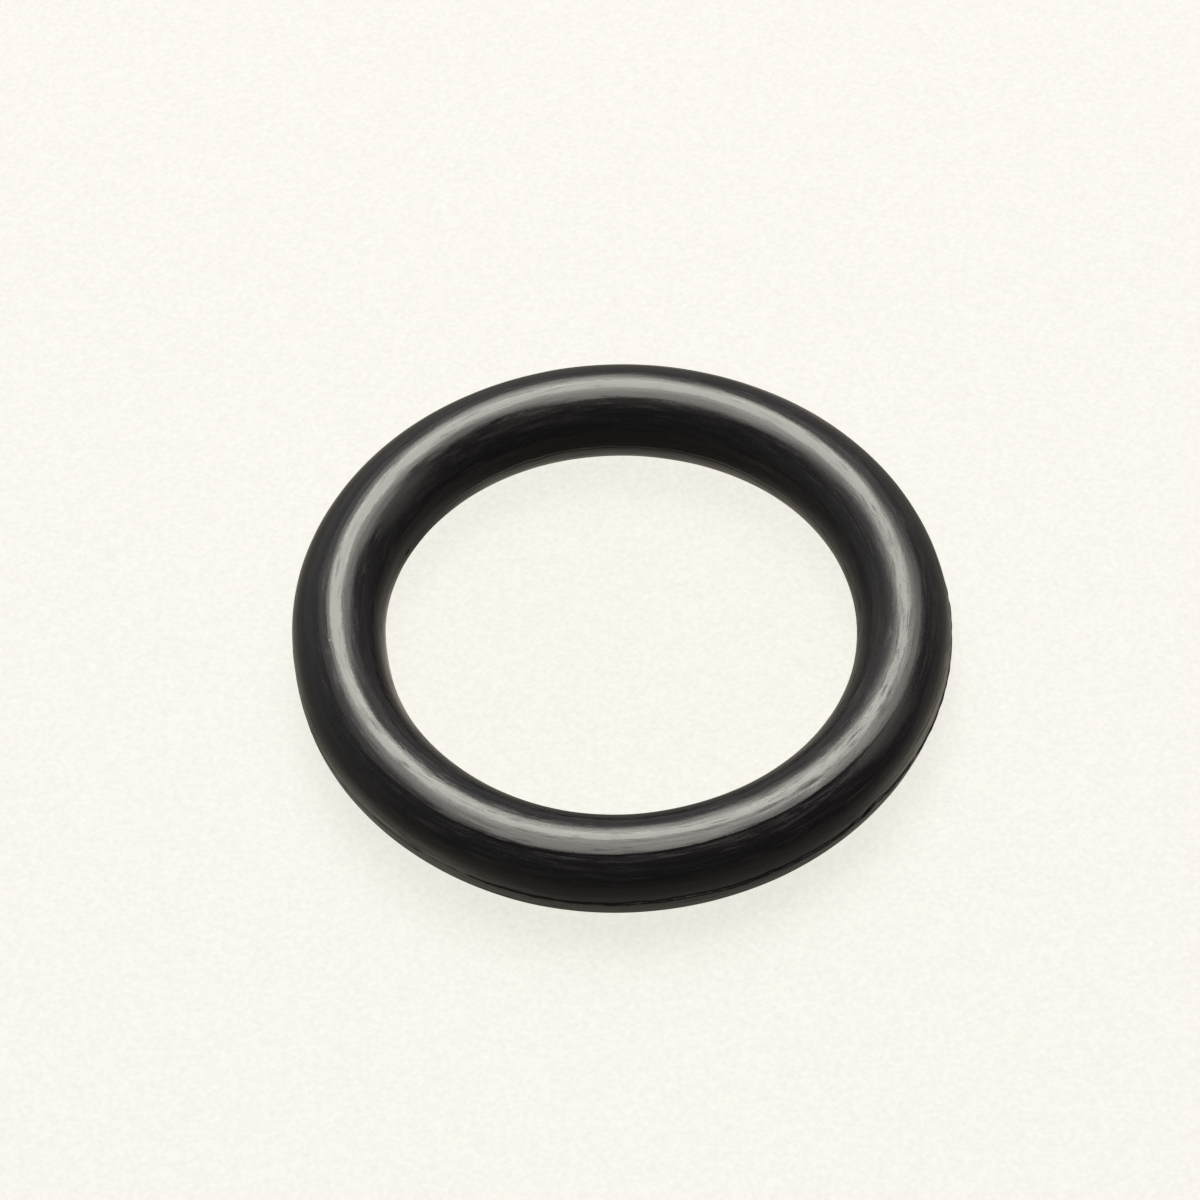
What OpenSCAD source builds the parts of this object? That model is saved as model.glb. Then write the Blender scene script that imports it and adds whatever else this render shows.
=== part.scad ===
// Rubber O-ring, moulded in one piece, lying flat.
// Millimetres, +Z up, with the origin at the centre of the ring, which is also the centre of its bore.
// The mould parts on the ring's mid-plane. Its trimmed flash stays as a low ridge round the outside
// and another round the bore.

/* [Ring] */
// Inside diameter, from rubber to rubber across the bore, without the flash
inside_d = 15; // [4:0.5:60]
// Diameter of the round section
section_d = 3; // [1:0.1:6]

/* [Flash] */
// How far the trimmed flash stands out of the ring's outside
outside_flash_h = 0.05; // [0.02:0.01:0.12]
// How far the trimmed flash stands into the bore
bore_flash_h = 0.04; // [0.02:0.01:0.12]
// Width of the flash at its root, where it leaves the round section
flash_root_w = 0.14; // [0.10:0.01:0.20]
// Width of the flash at its crown, where it was cut off
flash_crown_w = 0.05; // [0.02:0.01:0.08]

/* [Hidden] */

// Radius of the section, and of the circle that the section's centre follows
section_r = section_d / 2;
ring_r = inside_d / 2 + section_r;

// How deep a flash's foot is sunk in the round rubber, so that the two fuse
sink = 0.01;

$fn = 144;

// One flash in section, along +X from the section's centre. Its flanks leave the round rubber where
// the flash is flash_root_w wide and lean in to its crown, a height h above the round.
module flash_profile(h) {
    root_x = sqrt(section_r ^ 2 - (flash_root_w / 2) ^ 2);
    crown_x = section_r + h;
    lean = (flash_root_w - flash_crown_w) / 2 / (crown_x - root_x);
    foot = flash_root_w / 2 + lean * sink;
    polygon([
        [root_x - sink, -foot],
        [crown_x, -flash_crown_w / 2],
        [crown_x, flash_crown_w / 2],
        [root_x - sink, foot]
    ]);
}

// The ring's section about its own centre, with the bore on the side of -X
module ring_profile() {
    circle(r = section_r);
    flash_profile(outside_flash_h);
    rotate(180) flash_profile(bore_flash_h);
}

module o_ring() {
    color([0.05, 0.05, 0.05])
        rotate_extrude()
            translate([ring_r, 0]) ring_profile();
}

o_ring();
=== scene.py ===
import math

import bmesh
import bpy
from mathutils import Matrix, Vector, noise


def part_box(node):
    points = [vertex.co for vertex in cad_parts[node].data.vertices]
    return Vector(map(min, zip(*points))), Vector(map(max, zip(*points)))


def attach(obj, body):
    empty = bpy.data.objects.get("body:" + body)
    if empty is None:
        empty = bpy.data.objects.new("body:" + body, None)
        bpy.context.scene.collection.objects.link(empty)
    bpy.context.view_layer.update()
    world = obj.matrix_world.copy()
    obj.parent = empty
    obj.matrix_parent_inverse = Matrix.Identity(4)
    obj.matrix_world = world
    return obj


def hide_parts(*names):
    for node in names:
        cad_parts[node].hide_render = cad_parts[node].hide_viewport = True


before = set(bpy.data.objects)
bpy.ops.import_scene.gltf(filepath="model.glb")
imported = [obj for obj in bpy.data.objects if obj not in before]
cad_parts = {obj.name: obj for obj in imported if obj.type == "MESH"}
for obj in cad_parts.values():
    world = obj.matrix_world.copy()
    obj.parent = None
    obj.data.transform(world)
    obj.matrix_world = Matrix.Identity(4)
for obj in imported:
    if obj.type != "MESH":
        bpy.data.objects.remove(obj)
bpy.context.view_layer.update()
mm = 0.001
scene = bpy.context.scene

# Angles round the ring are in degrees from +X towards +Y, so -90 is the side nearest the camera. Angles
# round its section go from the outside over the top, so 90 is the crest and 180 the bore.
ring = {
    "corners": 60,              # corners round the section, before some of its edges are split
    "steps": 180,               # steps in each quarter of the ring
    "mergeGap": 0.0005 * mm,    # corners closer than this are one, where two quarters meet
    "waviness": 0.006 * mm,     # slow unevenness of the moulded skin,
    "wavesRound": 5,            # and how quickly it changes round the ring,
    "wavesAcross": 1.4,         # across the section
    "wavesUp": 7,               # and up it
}

# Where the section needs more corners: the angle round it, the reach to both sides, and how many are put
# in each edge there
fineStretches = [
    {"angle": 3, "reach": 9.5, "splits": 11},     # the outside flash
    {"angle": 180, "reach": 7, "splits": 7},      # the flash in the bore
    {"angle": 64, "reach": 12, "splits": 8},      # the lip and the turned lines
    {"angle": 84, "reach": 7, "splits": 3},       # the grooves beside the crest
]

# The thin flash where the two halves of the mould met, trimmed off almost down to the skin
flash = {
    "outsideHeight": 0.05 * mm,    # how far it stands out of the skin where it is whole, outside
    "boreHeight": 0.04 * mm,       # and in the bore
    "outsideLeft": 0.16,           # the share of its height that trimming left, outside
    "boreLeft": 0.12,              # and in the bore,
    "leastLeft": 0.06,             # and where it is worn most
    "rootWidth": 0.14 * mm,        # its width where it leaves the round section
    "crownWidth": 0.05 * mm,       # and where it was cut off
    "notchPlace": 0.085 * mm,      # a notch along its upper foot, measured up from its middle,
    "notchReach": 0.045 * mm,      # to both sides,
    "notchDepth": 0.80,            # and as a share of its height
    "outsideFrom": -7,             # the angles round the section between which it lies, outside
    "outsideTo": 12,
    "boreReach": 8,                # and to both sides of 180, in the bore
    "outsideSeed": 1,
    "boreSeed": 21,
}
boxLow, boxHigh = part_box("o_ring")
sectionRadius = (boxHigh.z - boxLow.z) / 2
ringRadius = boxHigh.x - flash["outsideHeight"] - sectionRadius

# Places round the ring, each with its angle and its reach to both sides in degrees: where trimming left
# more of the outside flash,
flashStands = [
    {"angle": -62, "reach": 38, "more": 1.0},
    {"angle": -43, "reach": 3, "more": 0.4},
    {"angle": 3, "reach": 14, "more": 0.45},
]

# where that flash lies above the mid-plane, the last of them a sharp nick,
flashClimbs = [
    {"angle": -78, "reach": 12, "up": 0.050 * mm},
    {"angle": -42, "reach": 9, "up": 0.085 * mm},
    {"angle": -43, "reach": 1.4, "up": 0.060 * mm},
]

# and where a torn bit of the bore's flash stands out
boreTears = [{"angle": 155, "reach": 1.2, "out": 0.035 * mm}]

# The soft ring isn't perfectly round. At these places it is pressed in or bulges: how far the ring moves
# out, how much thicker it is and how far its section leans towards the upper outside
bends = [
    {"angle": -171, "reach": 15, "out": -0.085 * mm, "thicker": -0.020 * mm, "lean": 0.0},
    {"angle": 180, "reach": 28, "out": 0.0, "thicker": -0.020 * mm, "lean": 0.044 * mm},
    {"angle": -106, "reach": 22, "out": 0.036 * mm, "thicker": 0.0, "lean": 0.0},
    {"angle": -72, "reach": 16, "out": -0.020 * mm, "thicker": 0.020 * mm, "lean": 0.0},
    {"angle": -14, "reach": 26, "out": 0.018 * mm, "thicker": -0.010 * mm, "lean": 0.024 * mm},
    {"angle": 36, "reach": 20, "out": 0.024 * mm, "thicker": 0.0, "lean": 0.0},
    {"angle": 84, "reach": 26, "out": -0.044 * mm, "thicker": 0.020 * mm, "lean": 0.012 * mm},
    {"angle": 138, "reach": 16, "out": 0.014 * mm, "thicker": 0.0, "lean": 0.010 * mm},
]

# On the bore's side of the crest the skin falls away faster round the rear left: its place round the ring,
# and the angles round the section where the fall starts, where it is deepest and where the skin is back
shoulder = {
    "angle": 135,
    "reach": 36,
    "depth": 0.020 * mm,
    "start": 99,
    "deepest": 117,
    "back": 170,
}

# The edge of a worn place in the mould: the skin rises slowly to a lip on the crest side, drops at the
# line and then falls away, all within the angles round the ring where it starts and ends
lip = {
    "angle": 70.0,
    "start": -152,
    "startFade": 30,              # it comes up over so many degrees
    "end": -22,
    "endFade": 26,                # and goes over so many
    "strength": 0.9,              # its mean strength between them,
    "leastStrength": 0.4,         # and its least
    "leftLower": 7.2,             # how far below its angle it lies at the left,
    "leftFrom": -130,             # and the angles round the ring between which it climbs from there
    "leftTo": -55,
    "rightLower": 0.6,            # the same at the right, where it sinks again
    "rightFrom": -58,
    "rightTo": -25,
    "dip": 1.3,                   # a short dip of so many degrees,
    "dipPlace": -66,              # where it is
    "dipReach": 9,
    "rise": 0.010 * mm,
    "riseReach": 0.34 * mm,
    "riseCurve": 1.5,
    "drop": 0.015 * mm,
    "dropReach": 0.035 * mm,
    "fall": 0.4,                  # how much further it falls, as a share of the drop,
    "fallReach": 0.55 * mm,       # how far from the line the skin is back,
    "fallDeepest": 0.2,           # and where on that way it is deepest
    "zoneFrom": 40,               # the angles round the section between which the lip and the marks lie
    "zoneTo": 92,
}

# Fine turned lines and two shallow grooves in the skin, each with the angle round the section, the angles
# round the ring where it starts and ends, its depth and the width of its sides towards the crest and away
# from it
toolMarks = [
    {"angle": 64.6, "start": -130, "end": -66, "depth": 0.0032 * mm, "near": 0.030 * mm, "far": 0.030 * mm},
    {"angle": 61.4, "start": -126, "end": -60, "depth": 0.0036 * mm, "near": 0.030 * mm, "far": 0.030 * mm},
    {"angle": 58.4, "start": -116, "end": -80, "depth": 0.0024 * mm, "near": 0.026 * mm, "far": 0.026 * mm},
    {"angle": 80.4, "start": -124, "end": -16, "depth": 0.0070 * mm, "near": 0.120 * mm, "far": 0.400 * mm},
    {"angle": 81.0, "start": -98, "end": -30, "depth": 0.0090 * mm, "near": 0.100 * mm, "far": 0.300 * mm},
]

# Each mark comes up and goes over so many degrees, with this mean strength between
markFade = {"start": 25, "end": 18, "strength": 0.6}

# Uneven waves round the ring: about how many come in a turn, how large they are, and a seed
waves = {
    "flashHeight": [
        {"perTurn": 30, "size": 0.45, "seed": 0},
        {"perTurn": 180, "size": 0.75, "seed": 3},
    ],
    "flashPlace": [
        {"perTurn": 24, "size": 0.030 * mm, "seed": 0},
        {"perTurn": 95, "size": 0.045 * mm, "seed": 5},
        {"perTurn": 230, "size": 0.035 * mm, "seed": 9},
    ],
    "lipAngle": [
        {"perTurn": 26, "size": 0.5, "seed": 41},
        {"perTurn": 110, "size": 0.6, "seed": 42},
        {"perTurn": 230, "size": 0.6, "seed": 43},
    ],
    "lipStrength": [{"perTurn": 70, "size": 0.5, "seed": 44}],
    "markAngle": [
        {"perTurn": 20, "size": 0.5, "seed": 0},
        {"perTurn": 90, "size": 0.3, "seed": 0},
    ],
    "markStrength": [{"perTurn": 60, "size": 1.3, "seed": 9}],
}


def limited(value, low, high):
    return min(max(value, low), high)


def smoothStep(low, high, value):
    t = limited((value - low) / (high - low), 0.0, 1.0)
    return t * t * (3 - 2 * t)


def turnGap(angle, other):
    # Difference of two angles in degrees, from -180 to 180
    return (angle - other + 180) % 360 - 180


def swell(turn, place, reach):
    # 1 at the angle place round the ring, and 0 well beyond the reach to both sides
    return math.exp(-(turnGap(math.degrees(turn), place) / reach) ** 2)


def swellSum(turn, places, what):
    return sum(place[what] * swell(turn, place["angle"], place["reach"]) for place in places)


def turnNoise(turn, perTurn, seed):
    # Smooth noise round the ring, with about perTurn swells in a turn and no break where it closes
    reach = perTurn / (2 * math.pi)
    return noise.noise(Vector((math.cos(turn) * reach, math.sin(turn) * reach, seed)))


def waveSum(turn, kind, seed=0):
    return sum(wave["size"] * turnNoise(turn, wave["perTurn"], seed + wave["seed"]) for wave in waves[kind])


def splitEdges(bm, stretch):
    def near(vert):
        around = math.degrees(math.atan2(vert.co.z, vert.co.x))
        return abs(turnGap(around, stretch["angle"])) < stretch["reach"]
    chosen = [edge for edge in bm.edges if all(near(vert) for vert in edge.verts)]
    bmesh.ops.subdivide_edges(bm, edges=chosen, cuts=stretch["splits"])


def ringBlank():
    # A plain round ring: the section is stood up, split where detail comes, and spun for a quarter,
    # which is then spun on as copies, because one long spin takes half a minute
    bm = bmesh.new()
    bmesh.ops.create_circle(bm, cap_ends=False, segments=ring["corners"], radius=sectionRadius)
    bmesh.ops.rotate(bm, verts=bm.verts, cent=(0, 0, 0), matrix=Matrix.Rotation(math.pi / 2, 3, "X"))
    for stretch in fineStretches:
        splitEdges(bm, stretch)
    for vert in bm.verts:
        vert.co *= sectionRadius / vert.co.length
    bmesh.ops.translate(bm, verts=bm.verts, vec=(ringRadius, 0, 0))
    bmesh.ops.spin(bm, geom=bm.verts[:] + bm.edges[:], cent=(0, 0, 0), axis=(0, 0, 1), dvec=(0, 0, 0),
                   angle=math.pi / 2, steps=ring["steps"], use_merge=False, use_duplicate=False)
    bmesh.ops.spin(bm, geom=bm.verts[:] + bm.edges[:] + bm.faces[:], cent=(0, 0, 0), axis=(0, 0, 1),
                   dvec=(0, 0, 0), angle=3 * math.pi / 2, steps=3, use_merge=False, use_duplicate=True)
    bmesh.ops.remove_doubles(bm, verts=bm.verts, dist=ring["mergeGap"])
    bmesh.ops.recalc_face_normals(bm, faces=bm.faces)
    return bm


def flashHeight(turn, whole, left, seed):
    # What is left of the flash stands unevenly; left is the mean share of its whole height
    left *= 1 + waveSum(turn, "flashHeight", seed)
    return whole * limited(left, flash["leastLeft"], 1.0)


def markDepth(turn, mark):
    # A mark starts and ends gently, and comes and goes along its way
    degrees = math.degrees(turn)
    ends = smoothStep(mark["start"], mark["start"] + markFade["start"], degrees)
    ends *= 1 - smoothStep(mark["end"] - markFade["end"], mark["end"], degrees)
    strength = markFade["strength"] + waveSum(turn, "markStrength", mark["angle"])
    return mark["depth"] * ends * limited(strength, 0.0, 1.0)


def lipFacts(turn):
    # The lip climbs from the left to the front, and fades at both ends
    degrees = math.degrees(turn)
    angle = lip["angle"] - lip["leftLower"] * (1 - smoothStep(lip["leftFrom"], lip["leftTo"], degrees))
    angle -= lip["rightLower"] * smoothStep(lip["rightFrom"], lip["rightTo"], degrees)
    angle -= lip["dip"] * swell(turn, lip["dipPlace"], lip["dipReach"])
    angle += waveSum(turn, "lipAngle")
    ends = smoothStep(lip["start"], lip["start"] + lip["startFade"], degrees)
    ends *= 1 - smoothStep(lip["end"] - lip["endFade"], lip["end"], degrees)
    strength = limited(lip["strength"] + waveSum(turn, "lipStrength"), lip["leastStrength"], 1.0)
    return angle, ends * strength


def lipShape(outward):
    # outward is the distance from the line towards the outside of the ring
    if outward < 0:
        return lip["rise"] * max(1 + outward / lip["riseReach"], 0.0) ** lip["riseCurve"]
    dropped = lip["rise"] - lip["drop"] * smoothStep(0, lip["dropReach"], outward)
    way = outward / lip["fallReach"]
    further = lip["fall"] * lip["drop"] * smoothStep(0, lip["fallDeepest"], way)
    return (dropped - further) * (1 - smoothStep(lip["fallDeepest"], 1.0, way))


def turnFacts():
    # What changes only on the way round the ring, worked out once for each step of the spin
    facts = []
    for step in range(4 * ring["steps"]):
        turn = math.pi / 2 * step / ring["steps"]
        if turn > math.pi:
            turn -= 2 * math.pi
        left = flash["outsideLeft"] + swellSum(turn, flashStands, "more")
        outsideTall = flashHeight(turn, flash["outsideHeight"], left, flash["outsideSeed"])
        outsidePlace = waveSum(turn, "flashPlace", flash["outsideSeed"]) + swellSum(turn, flashClimbs, "up")
        boreTall = flashHeight(turn, flash["boreHeight"], flash["boreLeft"], flash["boreSeed"])
        boreTall += swellSum(turn, boreTears, "out")
        marks = []
        for mark in toolMarks:
            angle = mark["angle"] + waveSum(turn, "markAngle", mark["angle"])
            marks.append((angle, markDepth(turn, mark), mark))
        facts.append({
            "centre": ringRadius + swellSum(turn, bends, "out"),
            "section": sectionRadius + swellSum(turn, bends, "thicker") / 2,
            "lean": swellSum(turn, bends, "lean"),
            "outside": (outsideTall, outsidePlace),
            "bore": (boreTall, waveSum(turn, "flashPlace", flash["boreSeed"])),
            "lip": lipFacts(turn),
            "shoulder": shoulder["depth"] * swell(turn, shoulder["angle"], shoulder["reach"]),
            "marks": marks})
    return facts


def flashShape(offset, tall):
    # A ridge over the round section with sloping flanks and a cut crown, and a notch along its upper foot
    ridge = 1 - smoothStep(flash["crownWidth"] / 2, flash["rootWidth"] / 2, abs(offset))
    notch = max(1 - abs(offset - flash["notchPlace"]) / flash["notchReach"], 0.0)
    return tall * (ridge - flash["notchDepth"] * notch)


def skinLift(turn, around, facts):
    # How far the skin stands off the round section at one place
    angle = math.degrees(around)
    fromBore = turnGap(angle, 180)
    upAndAcross = math.cos(around) * ring["wavesAcross"] + math.sin(around) * ring["wavesUp"]
    lift = ring["waviness"] * noise.noise(Vector((
        math.cos(turn) * ring["wavesRound"], math.sin(turn) * ring["wavesRound"], upAndAcross)))
    lift += facts["lean"] * math.sin(2 * around)
    fallen = smoothStep(shoulder["start"], shoulder["deepest"], angle)
    lift -= facts["shoulder"] * fallen * (1 - smoothStep(shoulder["deepest"], shoulder["back"], angle))
    if flash["outsideFrom"] < angle < flash["outsideTo"]:
        tall, place = facts["outside"]
        lift += flashShape(around * sectionRadius - place, tall)
    elif abs(fromBore) < flash["boreReach"]:
        tall, place = facts["bore"]
        lift += flashShape(math.radians(fromBore) * sectionRadius - place, tall)
    elif lip["zoneFrom"] < angle < lip["zoneTo"]:
        middle, strength = facts["lip"]
        lift += strength * lipShape(math.radians(middle - angle) * sectionRadius)
        for middle, depth, mark in facts["marks"]:
            outward = math.radians(middle - angle) * sectionRadius
            width = mark["far"] if outward > 0 else mark["near"]
            lift -= depth * max(1 - abs(outward) / width, 0.0)
    return lift


def shapeSkin(bm):
    facts = turnFacts()
    for vert in bm.verts:
        turn = math.atan2(vert.co.y, vert.co.x)
        step = round(turn / (math.pi / 2) * ring["steps"]) % (4 * ring["steps"])
        reach = math.hypot(vert.co.x, vert.co.y)
        around = math.atan2(vert.co.z, reach - ringRadius)
        out = facts[step]["section"] + skinLift(turn, around, facts[step])
        reach = facts[step]["centre"] + out * math.cos(around)
        vert.co = (reach * math.cos(turn), reach * math.sin(turn), out * math.sin(around))


def newObject(name, bm, material, smooth):
    mesh = bpy.data.meshes.new(name)
    bm.to_mesh(mesh)
    bm.free()
    mesh.materials.append(material)
    for face in mesh.polygons:
        face.use_smooth = smooth
    thing = bpy.data.objects.new(name, mesh)
    scene.collection.objects.link(thing)
    return thing


def addNode(tree, kind, inputs=None, **settings):
    # One node with its settings; inputs holds plain values or the sockets that feed them
    node = tree.nodes.new(kind)
    for name, value in settings.items():
        setattr(node, name, value)
    for name, value in (inputs or {}).items():
        if isinstance(value, bpy.types.NodeSocket):
            tree.links.new(value, node.inputs[name])
        else:
            node.inputs[name].default_value = value
    return node


def calculate(tree, operation, *values):
    return addNode(tree, "ShaderNodeMath", dict(enumerate(values)), operation=operation).outputs[0]


def smoothRange(tree, value, edge, start, end):
    # Goes smoothly from start to end while the value goes from the edge's first number to its second
    return addNode(tree, "ShaderNodeMapRange", {
        "Value": value, "From Min": edge[0], "From Max": edge[1], "To Min": start, "To Max": end},
        interpolation_type="SMOOTHSTEP").outputs[0]


def rayKinds(tree):
    # 1 for what the camera sees, and 1 for what shows in gloss or through glass
    rays = addNode(tree, "ShaderNodeLightPath").outputs
    gloss = calculate(tree, "MAXIMUM", rays["Is Glossy Ray"], rays["Is Transmission Ray"])
    return rays["Is Camera Ray"], gloss


def newMaterial(name):
    material = bpy.data.materials.new(name)
    material.use_nodes = True
    material.node_tree.nodes.clear()
    return material, material.node_tree


# A pair named Edge holds the value of a pattern where something starts and the one where it is complete,
# and for a side of the ring the cosines of the angles from it. Streaks are given as how many come in a turn
# of the ring, how many round its section, and their detail.
rubber = {
    "colour": (0.0070, 0.0056, 0.0068, 1),
    "bloomColour": (0.0170, 0.0160, 0.0160, 1),   # where a thin dull film has come to the skin
    "bloomEdge": (0.46, 0.70),
    "ior": 1.6,
    "fineStreaks": (46, 95, 3.0),
    "broadStreaks": (12, 26, 2.0),
    "streakRoughness": 0.6,
    "streakDepth": 0.0044 * mm,
    "streakGrain": 0.4,                           # how much grain there is in the height of the streaks,
    "streakBroad": 0.6,                           # and how much of the broad ones
    "grainScale": 9000.0,
    "roughness": (0.07, 0.20),                    # in the glossiest and the dullest part of the pattern
    "roughEdge": (0.38, 0.62),
    "roughGrain": 0.2,                            # the shares of the grain, of the broad streaks
    "roughBroad": 0.3,
    "roughFine": 0.5,                             # and of the fine ones in that pattern
    "patchRoughness": 0.30,                       # how much rougher the dullest streaks are
    "patchEdge": (0.52, 0.70),
    "flankRoughness": 0.15,                       # how much rougher it is away from the crest,
    "flankEdge": (0.93, 0.62),                    # as heights in parts of the section's radius
    "scuffStreaks": (90, 170, 1.0),
    "scuffEdge": (0.35, 0.27),
    "scuffDepth": 0.0012 * mm,
    "scuffRoughness": 0.16,
    "wornAngle": 84,                              # a scuffed line on the crest, on the side nearest the
    "wornTowards": -66,                           # camera,
    "wornEdge": (0.84, 0.93),
    "wornReach": (0.055, 0.020),                  # how far to both sides it ends and is full, in parts of
    "wornScuffs": -0.12,                          # the radius, and what it adds to the scuffs' pattern
    "farMarks": 0.60,                             # how much of the streaks and scuffs the far side has
    "farEdge": (-0.3, 0.5),
    "dullTowards": 6,                             # the side where the whole skin is duller,
    "dullEdge": (0.70, 0.95),
    "dullSide": 0.08,                             # and how much rougher it is there
    "dustColour": (0.16, 0.15, 0.14, 1),
    "dustScale": 900.0,
    "dustEdge": (0.045, 0.030),                   # how far a speck reaches, in parts of its cell
    "dustless": 0.80,                             # the share of the cells without one
}


def rubberMaterial():
    material, tree = newMaterial("blackRubber")
    place = addNode(tree, "ShaderNodeTexCoord").outputs["Object"]
    axes = addNode(tree, "ShaderNodeSeparateXYZ", {0: place}).outputs
    flat = addNode(tree, "ShaderNodeCombineXYZ", {0: axes[0], 1: axes[1]}).outputs[0]
    reach = addNode(tree, "ShaderNodeVectorMath", {0: flat}, operation="LENGTH").outputs["Value"]
    heading = addNode(tree, "ShaderNodeVectorMath", {0: flat}, operation="NORMALIZE").outputs[0]
    across = calculate(tree, "DIVIDE", calculate(tree, "SUBTRACT", reach, ringRadius), sectionRadius)
    above = calculate(tree, "DIVIDE", axes[2], sectionRadius)

    def streaks(kind):
        # Noise drawn out along the ring, with no seam either way
        inTurn, inSection, detail = rubber[kind]
        long = addNode(tree, "ShaderNodeVectorMath", {0: heading, "Scale": inTurn / (2 * math.pi)},
                       operation="SCALE").outputs[0]
        perRadius = inSection / (2 * math.pi)
        lifted = addNode(tree, "ShaderNodeCombineXYZ", {2: calculate(tree, "MULTIPLY", across, perRadius)})
        joined = addNode(tree, "ShaderNodeVectorMath", {0: long, 1: lifted.outputs[0]}, operation="ADD")
        return addNode(tree, "ShaderNodeTexNoise", {
            "Vector": joined.outputs[0], "W": calculate(tree, "MULTIPLY", above, perRadius), "Scale": 1.0,
            "Detail": detail, "Roughness": rubber["streakRoughness"]}, noise_dimensions="4D").outputs[0]

    def ramp(value, edge, start=0.0, end=1.0):
        low, high = rubber[edge]
        return addNode(tree, "ShaderNodeMapRange", {
            "Value": value, "From Min": low, "From Max": high, "To Min": start, "To Max": end}).outputs[0]

    def towards(side):
        # 1 where the ring's outside faces the angle given for that side, and -1 opposite
        middle = math.radians(rubber[side])
        way = (math.cos(middle), math.sin(middle), 0)
        return addNode(tree, "ShaderNodeVectorMath", {0: heading, 1: way},
                       operation="DOT_PRODUCT").outputs["Value"]

    def mixColour(factor, first, second):
        return addNode(tree, "ShaderNodeMix", {"Factor": factor, "A": first, "B": second},
                       data_type="RGBA").outputs["Result"]

    fine = streaks("fineStreaks")
    broad = streaks("broadStreaks")
    grain = addNode(tree, "ShaderNodeTexNoise", {
        "Vector": place, "Scale": rubber["grainScale"], "Detail": 2.0}).outputs[0]

    # Scuffs, more of them in the worn line on the crest
    fromLine = calculate(tree, "SUBTRACT", across, math.cos(math.radians(rubber["wornAngle"])))
    worn = calculate(tree, "MULTIPLY", ramp(towards("wornTowards"), "wornEdge"),
                     ramp(calculate(tree, "ABSOLUTE", fromLine), "wornReach"))
    scuffs = calculate(tree, "MULTIPLY_ADD", worn, rubber["wornScuffs"], streaks("scuffStreaks"))
    marked = ramp(towards("wornTowards"), "farEdge", rubber["farMarks"], 1.0)
    scuff = calculate(tree, "MULTIPLY", marked, ramp(scuffs, "scuffEdge"))

    # How dull the skin is
    dull = calculate(tree, "MULTIPLY_ADD", grain, rubber["roughGrain"],
                     calculate(tree, "MULTIPLY", broad, rubber["roughBroad"]))
    dull = calculate(tree, "MULTIPLY_ADD", fine, rubber["roughFine"], dull)
    duller = calculate(tree, "MULTIPLY", ramp(above, "flankEdge"), rubber["flankRoughness"])
    duller = calculate(tree, "MULTIPLY_ADD", scuff, rubber["scuffRoughness"], duller)
    patches = calculate(tree, "MULTIPLY", marked, ramp(fine, "patchEdge", 0.0, rubber["patchRoughness"]))
    duller = calculate(tree, "ADD", duller, patches)
    smoothest, roughest = rubber["roughness"]
    rough = calculate(tree, "ADD", duller, ramp(dull, "roughEdge", smoothest, roughest))
    dullSide = calculate(tree, "MULTIPLY", ramp(towards("dullTowards"), "dullEdge"), rubber["dullSide"])
    rough = calculate(tree, "ADD", rough, dullSide)

    # The film and the dust
    bloomed = mixColour(ramp(dull, "bloomEdge"), rubber["colour"], rubber["bloomColour"])
    cells = addNode(tree, "ShaderNodeTexVoronoi", {"Vector": place, "Scale": rubber["dustScale"]}).outputs
    pick = addNode(tree, "ShaderNodeSeparateColor", {0: cells["Color"]}).outputs[0]
    dust = calculate(tree, "MULTIPLY", ramp(cells["Distance"], "dustEdge"),
                     calculate(tree, "GREATER_THAN", pick, rubber["dustless"]))
    colour = mixColour(dust, bloomed, rubber["dustColour"])

    # The height of the streaks and scuffs
    uneven = calculate(tree, "MULTIPLY_ADD", grain, rubber["streakGrain"],
                       calculate(tree, "MULTIPLY_ADD", broad, rubber["streakBroad"], fine))
    depth = calculate(tree, "MULTIPLY", marked, rubber["streakDepth"])
    scuffed = calculate(tree, "MULTIPLY", scuff, -rubber["scuffDepth"])
    height = calculate(tree, "ADD", calculate(tree, "MULTIPLY", uneven, depth), scuffed)
    raised = addNode(tree, "ShaderNodeBump", {"Height": height, "Distance": 1.0, "Strength": 1.0})

    shader = addNode(tree, "ShaderNodeBsdfPrincipled", {
        "Base Color": colour, "Roughness": rough, "IOR": rubber["ior"], "Normal": raised.outputs[0]})
    addNode(tree, "ShaderNodeOutputMaterial", {"Surface": shader.outputs[0]})
    return material


bm = ringBlank()
shapeSkin(bm)
skin = newObject("rubberRing", bm, rubberMaterial(), True)
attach(skin, "root")
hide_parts("o_ring")
print("ring skin:", len(skin.data.polygons), "faces")

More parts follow.
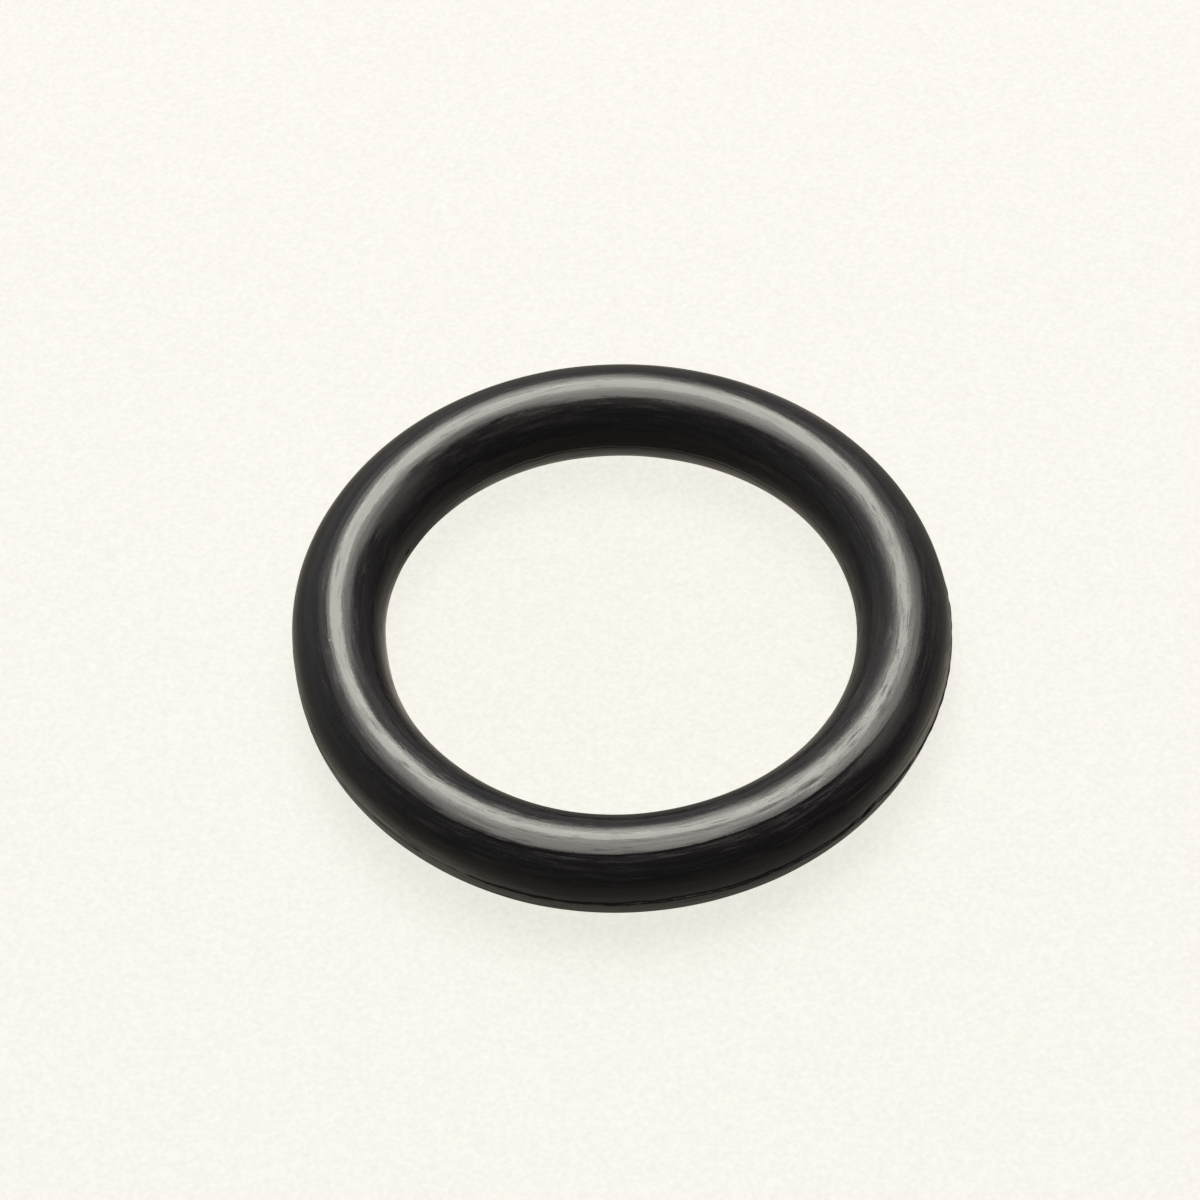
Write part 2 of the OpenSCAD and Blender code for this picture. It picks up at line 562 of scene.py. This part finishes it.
# A pair named Edge holds the two distances from the ring's centre between which something changes, in parts
# of the bore's radius, or of the outside radius where a note says so
floorLook = {
    "reach": 700 * mm,
    "corners": 96,
    "paleColour": (0.860, 0.820, 0.970, 1),    # as the camera sees it
    "glow": (0.957, 0.937, 0.850, 1),          # the part of the pale floor that takes no shade,
    "cameraShare": 0.85,                       # and its share
    "insideShare": 0.905,                      # inside the ring less of it takes shade,
    "insideShareEdge": (1.10, 1.35),
    "insideGlow": 0.985,                       # and its glow is painted a little dimmer there, as shade
    "insideGlowEdge": (0.9, 1.1),
    "grain": 0.20,                             # how uneven it looks
    "grainScale": 6400.0,
    "colour": (0.12, 0.12, 0.118, 1),          # as it lights the ring
    # The floor's glow as the gloss sees it, its colour, share and strengths: painted light and painted
    # shade, so that the rubber mirrors a lit and shaded floor
    "mirrorColour": (0.965, 0.880, 0.750, 1),
    "mirrorShare": 0.50,
    "mirrored": 0.32,                          # as the gloss sees it, near the ring,
    "mirroredInside": 0.15,                    # and what of that is left in the middle of the bore, painted shade,
    "besideEdge": (0.2, 0.67),                 # with more to its left and right,
    "mirroredRim": 1.5,                        # at the bore's rim, painted light,
    "rimEdge": (0.88, 0.98),
    "mirroredUnder": 0.25,                     # under the ring, a painted shadow,
    "underEdge": (0.94, 1.04),                 # of the outside radius,
    "mirroredAway": 0.50,                      # and further off, painted dimmer
    "awayEdge": (1.15, 1.5),                   # of the outside radius
    "boreSpotEdge": (0.82, 0.90),              # where the bore's rearLeft spot starts,
    "outerSpotEdge": (1.06, 1.13),             # and the spots round the ring, of the outside radius
    "shine": (0.085, 0.08, 0.07, 1),           # how much it mirrors the panels for the gloss
    "shineRoughness": 0.5,
}

# Places where the floor's glow, as the gloss sees it, is painted brighter, or painted darker as shade where
# more is below 0: in the bore
boreSpots = {
    "left": {"x": -6.75 * mm, "y": 0.0, "reach": 4.1 * mm, "more": 1.2},
    "rearLeft": {"x": -5.7 * mm, "y": 4.3 * mm, "reach": 3.2 * mm, "more": -0.78},
}

# and round the ring
outerSpots = {
    "right": {"x": 12.3 * mm, "y": -3.8 * mm, "reach": 8.0 * mm, "more": 2.2},
    "rearRight": {"x": 6.8 * mm, "y": 12.4 * mm, "reach": 5.5 * mm, "more": 0.95},
    "rearLeft": {"x": -3.8 * mm, "y": 13.2 * mm, "reach": 6.2 * mm, "more": -0.80},
    "frontLeft": {"x": -8.5 * mm, "y": -8.5 * mm, "reach": 7.5 * mm, "more": 1.6},
}


def floorMaterial():
    material, tree = newMaterial("paleFloor")
    fromCamera, gloss = rayKinds(tree)
    place = addNode(tree, "ShaderNodeTexCoord").outputs["Object"]
    reach = addNode(tree, "ShaderNodeVectorMath", {0: place}, operation="LENGTH").outputs["Value"]
    bore = ringRadius - sectionRadius
    outside = ringRadius + sectionRadius

    def change(edge, radius, start, end, value=reach):
        return smoothRange(tree, value, [part * radius for part in floorLook[edge]], start, end)

    def paintedSpot(spot):
        # A spot of painted light in the floor's glow, painted shade where its more is below 0
        apart = addNode(tree, "ShaderNodeVectorMath", {0: place, 1: (spot["x"], spot["y"], boxLow.z)},
                        operation="DISTANCE").outputs["Value"]
        return smoothRange(tree, apart, (0.0, spot["reach"]), spot["more"], 0.0)

    def beyondRing(inner, outer):
        # One value nearer than the middle of the rubber, and the other further out
        beyond = calculate(tree, "GREATER_THAN", reach, ringRadius)
        return addNode(tree, "ShaderNodeMix", {"Factor": beyond, "A": inner, "B": outer}).outputs[0]

    # What the camera sees
    seenShare = change("insideShareEdge", bore, floorLook["insideShare"], floorLook["cameraShare"])
    share = calculate(tree, "MULTIPLY_ADD", fromCamera, seenShare,
                      calculate(tree, "MULTIPLY", gloss, floorLook["mirrorShare"]))
    grain = addNode(tree, "ShaderNodeTexNoise", {
        "Vector": place, "Scale": floorLook["grainScale"], "Detail": 2.0}).outputs[0]
    seen = calculate(tree, "MULTIPLY_ADD", grain, floorLook["grain"], 1 - floorLook["grain"] / 2)
    # Inside the ring the floor's glow is a little dimmer: painted shade
    seen = calculate(tree, "MULTIPLY", seen, change("insideGlowEdge", bore, floorLook["insideGlow"], 1.0))

    # What the gloss sees in the bore, under the ring and round it: the floor's glow with painted light and
    # painted shade
    sideways = calculate(tree, "ABSOLUTE", addNode(tree, "ShaderNodeSeparateXYZ", {0: place}).outputs[0])
    beside = change("besideEdge", bore, floorLook["mirroredInside"], 1.0, sideways)
    inside = calculate(tree, "MAXIMUM", beside,
                       change("rimEdge", bore, floorLook["mirroredInside"], floorLook["mirroredRim"]))
    inside = calculate(tree, "MULTIPLY", inside, calculate(tree, "ADD", paintedSpot(boreSpots["left"]), 1.0))
    darker = calculate(tree, "MULTIPLY_ADD", paintedSpot(boreSpots["rearLeft"]),
                       change("boreSpotEdge", bore, 0.0, 1.0), 1.0)
    inside = beyondRing(calculate(tree, "MULTIPLY", inside, darker), 1.0)
    under = beyondRing(1.0, change("underEdge", outside, floorLook["mirroredUnder"], 1.0))
    spots = 0.0
    for spot in outerSpots.values():
        spots = calculate(tree, "ADD", spots, paintedSpot(spot))
    spots = calculate(tree, "MULTIPLY_ADD", spots, change("outerSpotEdge", outside, 0.0, 1.0), 1.0)
    away = calculate(tree, "MULTIPLY", change("awayEdge", outside, 1.0, floorLook["mirroredAway"]), spots)
    nearRing = floorLook["mirrored"] / floorLook["mirrorShare"]
    mirrored = calculate(tree, "MULTIPLY", calculate(tree, "MULTIPLY", inside, under),
                         calculate(tree, "MULTIPLY", away, nearRing))

    strength = addNode(tree, "ShaderNodeMix", {"Factor": gloss, "A": seen, "B": mirrored}).outputs[0]
    glow = addNode(tree, "ShaderNodeMix", {"Factor": gloss, "A": floorLook["glow"],
                                           "B": floorLook["mirrorColour"]}, data_type="RGBA")
    colour = addNode(tree, "ShaderNodeMix", {"Factor": fromCamera, "A": floorLook["colour"],
                                             "B": floorLook["paleColour"]}, data_type="RGBA")
    lit = addNode(tree, "ShaderNodeBsdfDiffuse", {"Color": colour.outputs["Result"]})
    plain = addNode(tree, "ShaderNodeEmission", {"Color": glow.outputs["Result"], "Strength": strength})
    shine = addNode(tree, "ShaderNodeBsdfAnisotropic", {"Color": floorLook["shine"],
                                                        "Roughness": floorLook["shineRoughness"]})
    shiny = addNode(tree, "ShaderNodeAddShader", {0: lit.outputs[0], 1: shine.outputs[0]})
    base = addNode(tree, "ShaderNodeMixShader", {0: gloss, 1: lit.outputs[0], 2: shiny.outputs[0]})
    both = addNode(tree, "ShaderNodeMixShader", {0: share, 1: base.outputs[0], 2: plain.outputs[0]})
    addNode(tree, "ShaderNodeOutputMaterial", {"Surface": both.outputs[0]})
    return material


bm = bmesh.new()
bmesh.ops.create_circle(bm, cap_ends=True, segments=floorLook["corners"], radius=floorLook["reach"])
bmesh.ops.translate(bm, verts=bm.verts, vec=(0, 0, boxLow.z))
floor = newObject("floor", bm, floorMaterial(), False)
print("floor at", round(boxLow.z / mm, 3), "mm")

# Soft panels in the ceiling of a small light box. Each lies level and goes from left to right and from
# front to back by these distances in mm from the ring's centre. Each lies a little above the one before
# it, because where two at the same height overlap the gloss shows only one of them.
ceiling = {
    "height": 300 * mm,
    "gap": 5 * mm,
    "colour": (1.0, 0.97, 0.88),
}
panels = {
    "keyPanel": {"left": -81, "right": 75, "front": 108, "back": 264, "radiance": 5.80},
    "keyFront": {"left": -75, "right": 69, "front": 57, "back": 108, "radiance": 1.10},
    "leftPanel": {"left": -150, "right": -78, "front": 165, "back": 260, "radiance": 0.75},
    "leftNear": {"left": -180, "right": -78, "front": 66, "back": 165, "radiance": 0.75},
    "keyBack": {"left": -66, "right": 57, "front": 264, "back": 360, "radiance": 3.20},
    "farStrip": {"left": -90, "right": 21, "front": 360, "back": 555, "radiance": 2.40},
    "broadPanel": {"left": -156, "right": 60, "front": -48, "back": 414, "radiance": 1.60},
    "nearPanel": {"left": -114, "right": 72, "front": -36, "back": 114, "radiance": 1.40},
    "rightPanel": {"left": 66, "right": 255, "front": 96, "back": 345, "radiance": 1.85},
    "rightNear": {"left": 66, "right": 156, "front": 12, "back": 255, "radiance": 1.55},
    "wholeCeiling": {"left": -330, "right": 345, "front": 12, "back": 690, "radiance": 0.46},
    "farGlow": {"left": -210, "right": 45, "front": 640, "back": 1000, "radiance": 0.28},
    "frontGlow": {"left": -150, "right": 150, "front": -150, "back": -54, "radiance": 0.20},
    "sideGlow": {"left": 300, "right": 780, "front": -18, "back": 165, "radiance": 0.40},
}


def addPanel(name, panel, height):
    light = bpy.data.lights.new(name, "AREA")
    light.shape = "RECTANGLE"
    light.size = (panel["right"] - panel["left"]) * mm
    light.size_y = (panel["back"] - panel["front"]) * mm
    light.energy = panel["radiance"] * math.pi * light.size * light.size_y
    light.color = ceiling["colour"]
    lamp = bpy.data.objects.new(name, light)
    scene.collection.objects.link(lamp)
    middleX = (panel["left"] + panel["right"]) / 2 * mm
    middleY = (panel["front"] + panel["back"]) / 2 * mm
    lamp.location = (middleX, middleY, height)
    lamp.visible_camera = False


for order, name in enumerate(panels):
    addPanel(name, panels[name], ceiling["height"] + order * ceiling["gap"])

# Its Edge pairs are how far a direction points to the back, from -1 to 1
room = {
    "frontLight": 0.050,         # how bright the room is on the camera's side,
    "sideLight": 0.130,
    "sideEdge": (-0.55, 0.15),
    "backLight": 0.320,          # and on the far side
    "backEdge": (0.1, 0.95),
    "lean": 0.5,                 # how much brighter its left is than its middle, and darker its right
    "background": (0.945, 0.932, 0.885, 1),
    "mirrored": 0.04,            # how much of that the gloss sees
}


def buildRoom():
    world = bpy.data.worlds.new("paleRoom")
    world.use_nodes = True
    scene.world = world
    tree = world.node_tree
    tree.nodes.clear()
    way = addNode(tree, "ShaderNodeTexCoord").outputs["Generated"]
    axes = addNode(tree, "ShaderNodeSeparateXYZ", {0: way}).outputs
    side = smoothRange(tree, axes[1], room["sideEdge"], room["frontLight"], room["sideLight"])
    back = smoothRange(tree, axes[1], room["backEdge"], 0.0, room["backLight"] - room["sideLight"])
    lean = calculate(tree, "MULTIPLY_ADD", axes[0], -room["lean"], 1.0)
    strength = calculate(tree, "MULTIPLY", calculate(tree, "ADD", side, back), lean)
    walls = addNode(tree, "ShaderNodeBackground", {"Color": (1, 1, 1, 1), "Strength": strength})
    pale = addNode(tree, "ShaderNodeBackground", {"Color": room["background"], "Strength": 1.0})
    fromCamera, gloss = rayKinds(tree)
    share = calculate(tree, "MULTIPLY_ADD", gloss, room["mirrored"], fromCamera)
    both = addNode(tree, "ShaderNodeMixShader", {0: share, 1: walls.outputs[0], 2: pale.outputs[0]})
    addNode(tree, "ShaderNodeOutputWorld", {"Surface": both.outputs[0]})


buildRoom()
print("lights:", ", ".join(panels))

view = {
    "elevation": 53.2,            # degrees above the floor
    "distance": 132.0 * mm,
    "lens": 124.5,
    "sensor": 36.0,
    "roll": -1.2066,              # degrees
    "picture": 1200,              # pixels
    "ringAt": (620.07, 626.75),   # pixel of the ring's centre in that picture
    "nearest": 5 * mm,            # what is nearer or further isn't drawn
    "furthest": 10.0,
}


def addCamera():
    data = bpy.data.cameras.new("camera")
    data.lens = view["lens"]
    data.sensor_width = view["sensor"]
    data.clip_start = view["nearest"]
    data.clip_end = view["furthest"]
    camera = bpy.data.objects.new("camera", data)
    scene.collection.objects.link(camera)
    rise = math.radians(view["elevation"])
    camera.location = Vector((0, -math.cos(rise), math.sin(rise))) * view["distance"]
    aim = (-camera.location).to_track_quat("-Z", "Y")
    roll = Matrix.Rotation(math.radians(view["roll"]), 3, "Z").to_quaternion()
    half = view["picture"] / 2
    right, down = view["ringAt"]
    focal = view["lens"] / view["sensor"] * view["picture"]
    ray = Vector((right - half, half - down, -focal))
    camera.rotation_mode = "QUATERNION"
    camera.rotation_quaternion = aim @ roll @ ray.rotation_difference(Vector((0, 0, -1)))
    scene.camera = camera


addCamera()
scene.view_settings.view_transform = "Standard"
print("camera:", view["elevation"], "degrees above the floor,", round(view["distance"] / mm), "mm away")
